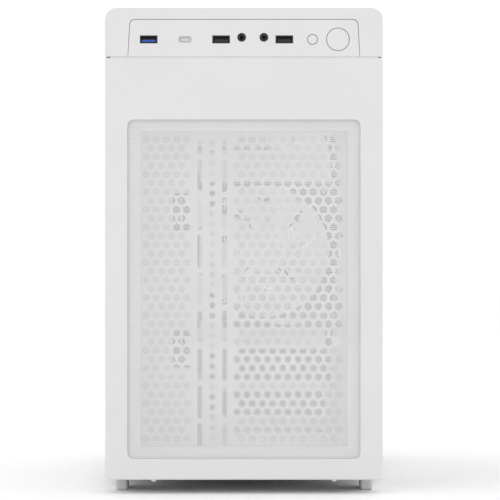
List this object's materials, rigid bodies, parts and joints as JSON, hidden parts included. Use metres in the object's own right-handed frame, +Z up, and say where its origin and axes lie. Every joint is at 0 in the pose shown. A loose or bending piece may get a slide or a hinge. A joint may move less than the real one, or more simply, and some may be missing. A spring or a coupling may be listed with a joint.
{
  "type": "desktop computer tower",
  "caption": "White desktop computer tower with a fine mesh front, front ports, sheet steel chassis, glass side and working parts inside.",
  "frame": {"origin": "centre of the footprint on the floor, under the feet", "axes": "+X to the right seen from the front, +Y from the front to the back, +Z up"},
  "size_m": [0.215, 0.4, 0.376],
  "materials": {
    "white_plastic": "moulded white plastic, fine satin grain",
    "white_steel": "white powder coat, fine texture",
    "mesh_paint": "white painted fine mesh",
    "glass": "clear tempered glass",
    "black_plastic": "black moulded plastic",
    "blue_plastic": "blue moulded insulator",
    "rubber": "light grey rubber feet",
    "bare_metal": "bare metal",
    "black_steel": "black powder coat",
    "circuit_board": "dark solder mask",
    "cable_sleeve": "black cable sleeve"
  },
  "bodies": {
    "chassis": {"audio_jack_left": "black_plastic", "audio_jack_right": "black_plastic", "base_pan": "white_steel", "board_power_cable": "cable_sleeve", "cable_bar": "white_steel", "card_heatsink": "bare_metal", "card_power_cable": "cable_sleeve", "card_shroud": "black_plastic", "cooler_fan_frame": "black_plastic", "cooler_heatsink": "bare_metal", "drive_cage": "white_steel", "foot_front_left": "rubber", "foot_front_right": "rubber", "foot_rear_left": "rubber", "foot_rear_right": "rubber", "front_panel_cable": "cable_sleeve", "front_plate": "white_steel", "graphics_card": "bare_metal", "hard_drive": "bare_metal", "memory_module_1": "white_steel", "memory_module_2": "white_steel", "motherboard": "circuit_board", "motherboard_tray": "white_steel", "port_board": "circuit_board", "port_panel": "white_plastic", "power_inlet": "black_plastic", "power_supply": "black_steel", "psu_shroud": "white_steel", "rear_fan_frame": "black_plastic", "rear_plate": "white_steel", "rear_ports": "bare_metal", "roof_plate": "white_steel", "slot_cover_1": "white_steel", "slot_cover_2": "white_steel", "supply_fan_frame": "black_plastic", "top_bezel": "white_plastic", "usb_port_left": "blue_plastic", "usb_port_middle": "black_plastic", "usb_port_right": "black_plastic", "usb_port_small": "black_plastic"},
    "front_panel": {"front_shell": "white_plastic", "front_mesh": "mesh_paint", "filter_frame": "white_plastic"},
    "glass_door": {"glass_frame": "white_steel", "glass_pane": "glass", "thumbscrew_glass_lower": "bare_metal", "thumbscrew_glass_upper": "bare_metal"},
    "steel_door": {"steel_side_panel": "white_steel", "thumbscrew_steel_lower": "bare_metal", "thumbscrew_steel_upper": "bare_metal"},
    "top_filter_body": {"top_filter": "black_plastic"},
    "bottom_filter_body": {"bottom_filter": "black_plastic"},
    "power_button_body": {"power_button": "white_plastic"},
    "reset_button_body": {"reset_button": "white_plastic"},
    "rocker_body": {"power_rocker": "black_plastic"},
    "rear_fan_spinner": {"rear_fan_rotor": "white_plastic"},
    "cooler_fan_spinner": {"cooler_fan_rotor": "white_plastic"},
    "supply_fan_spinner": {"supply_fan_rotor": "black_plastic"},
    "card_fan_spinner_1": {"card_fan_1": "black_plastic"},
    "card_fan_spinner_2": {"card_fan_2": "black_plastic"}
  },
  "joints": [
    {"name": "front_panel_pull", "type": "slide", "parent": "chassis", "child": "front_panel", "axis": [0, -1, 0], "range_m": [0, 0.03]},
    {"name": "glass_panel_slide", "type": "slide", "parent": "chassis", "child": "glass_door", "axis": [0, 1, 0], "range_m": [0, 0.02]},
    {"name": "steel_panel_slide", "type": "slide", "parent": "chassis", "child": "steel_door", "axis": [0, 1, 0], "range_m": [0, 0.02]},
    {"name": "top_filter_lift", "type": "slide", "parent": "chassis", "child": "top_filter_body", "axis": [0, 0, 1], "range_m": [0, 0.03]},
    {"name": "bottom_filter_slide", "type": "slide", "parent": "chassis", "child": "bottom_filter_body", "axis": [0, 1, 0], "range_m": [0, 0.15]},
    {"name": "power_button_press", "type": "slide", "parent": "chassis", "child": "power_button_body", "axis": [0, 1, 0], "range_m": [0, 0.0015], "stiffness_N_per_m": 900},
    {"name": "reset_button_press", "type": "slide", "parent": "chassis", "child": "reset_button_body", "axis": [0, 1, 0], "range_m": [0, 0.001], "stiffness_N_per_m": 900},
    {"name": "power_rocker_tilt", "type": "hinge", "parent": "chassis", "child": "rocker_body", "pos_m": [-0.0183, 0.1887, 0.083], "axis": [1, 0, 0], "range_deg": [0, 16]},
    {"name": "rear_fan_spin", "type": "hinge", "parent": "chassis", "child": "rear_fan_spinner", "pos_m": [0.0365, 0.1755, 0.178], "axis": [0, 1, 0], "continuous": true},
    {"name": "cooler_fan_spin", "type": "hinge", "parent": "chassis", "child": "cooler_fan_spinner", "pos_m": [0.0165, 0.061, 0.188], "axis": [0, 1, 0], "continuous": true},
    {"name": "supply_fan_spin", "type": "hinge", "parent": "chassis", "child": "supply_fan_spinner", "pos_m": [0, 0.1197, 0.0283], "axis": [0, 0, 1], "continuous": true},
    {"name": "card_fan_1_spin", "type": "hinge", "parent": "chassis", "child": "card_fan_spinner_1", "pos_m": [-0.0116, 0.1267, 0.3115], "axis": [0, 0, 1], "continuous": true},
    {"name": "card_fan_2_spin", "type": "hinge", "parent": "chassis", "child": "card_fan_spinner_2", "pos_m": [-0.0116, 0.0207, 0.3115], "axis": [0, 0, 1], "continuous": true}
  ]
}
